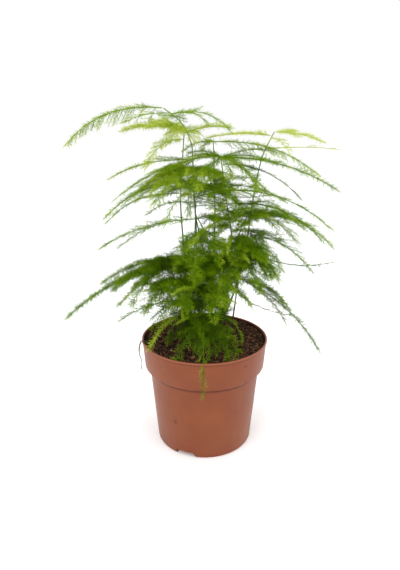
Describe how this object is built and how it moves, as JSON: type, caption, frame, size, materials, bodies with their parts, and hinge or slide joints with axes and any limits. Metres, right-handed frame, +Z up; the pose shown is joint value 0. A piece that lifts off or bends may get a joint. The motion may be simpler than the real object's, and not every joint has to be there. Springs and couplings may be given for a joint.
{
  "type": "potted asparagus fern",
  "caption": "Lace fern with thin upright stems and flat feathery sprays, growing in a round tapered nursery pot with a plain collar.",
  "frame": {"origin": "middle of the pot's underside, on the surface that it stands on", "axes": "+Z up, along the pot's axis; -Y is the front of the plant; +X is to the right seen from the front"},
  "size_m": [0.2473, 0.1767, 0.3134],
  "materials": {
    "terracotta_plastic": "satin injection-moulded polypropylene, terracotta brown, fine scuffs",
    "peat_and_coir": "matt, moist, crumbly and fibrous",
    "rootstock_bark": "matt woody knob",
    "green_stem": "satin green stem, browner at the base",
    "young_foliage": "satin yellow-green new growth",
    "grown_foliage": "satin fresh green",
    "dark_foliage": "satin deep green"
  },
  "bodies": {
    "root": {"pot": "terracotta_plastic", "growing_mix": "peat_and_coir", "rootstock_main": "rootstock_bark", "rootstock_back": "rootstock_bark", "stem_leader": "green_stem", "stem_left": "green_stem", "stem_middle": "green_stem", "stem_right": "green_stem", "stem_slanting": "green_stem", "stem_slender": "green_stem", "stem_crossing": "green_stem", "stem_low_left": "green_stem", "stem_low_front": "green_stem", "stem_back_inner": "green_stem", "stem_back_outer": "green_stem", "stem_back_tall": "green_stem", "frond_leader_arch": "young_foliage", "frond_top_right": "young_foliage", "frond_top_left": "young_foliage", "frond_top_back": "young_foliage", "frond_crest_left": "young_foliage", "frond_crest_right": "young_foliage", "frond_crest_front": "young_foliage", "frond_pale_right": "young_foliage", "frond_pale_left": "young_foliage", "frond_pale_front": "young_foliage", "frond_runner_right": "young_foliage", "frond_long_right": "grown_foliage", "frond_dark_right": "grown_foliage", "frond_dark_thin": "grown_foliage", "frond_inner_right": "grown_foliage", "frond_broad_left_upper": "grown_foliage", "frond_broad_left_middle": "grown_foliage", "frond_broad_left_lower": "grown_foliage", "frond_broad_front": "grown_foliage", "frond_arching_right": "grown_foliage", "frond_lower_left": "grown_foliage", "frond_lower_front": "dark_foliage", "frond_skirt_left": "dark_foliage", "frond_skirt_back_left": "dark_foliage", "frond_low_left_side": "grown_foliage", "frond_low_left_over": "young_foliage", "frond_core_front_left": "dark_foliage", "frond_core_arch": "dark_foliage", "frond_core_front": "dark_foliage", "frond_core_right": "dark_foliage", "frond_front_left_tuft": "dark_foliage", "frond_front_over_rim": "dark_foliage", "frond_front_right_tuft": "dark_foliage", "frond_right_tier": "grown_foliage", "frond_right_upper": "grown_foliage", "frond_right_lower": "dark_foliage", "frond_right_runner": "grown_foliage", "frond_right_drooping": "grown_foliage", "frond_right_trailing": "grown_foliage", "frond_back_right": "dark_foliage", "frond_back_middle": "dark_foliage", "frond_back_left": "dark_foliage", "frond_back_low_left": "dark_foliage"}
  },
  "joints": []
}
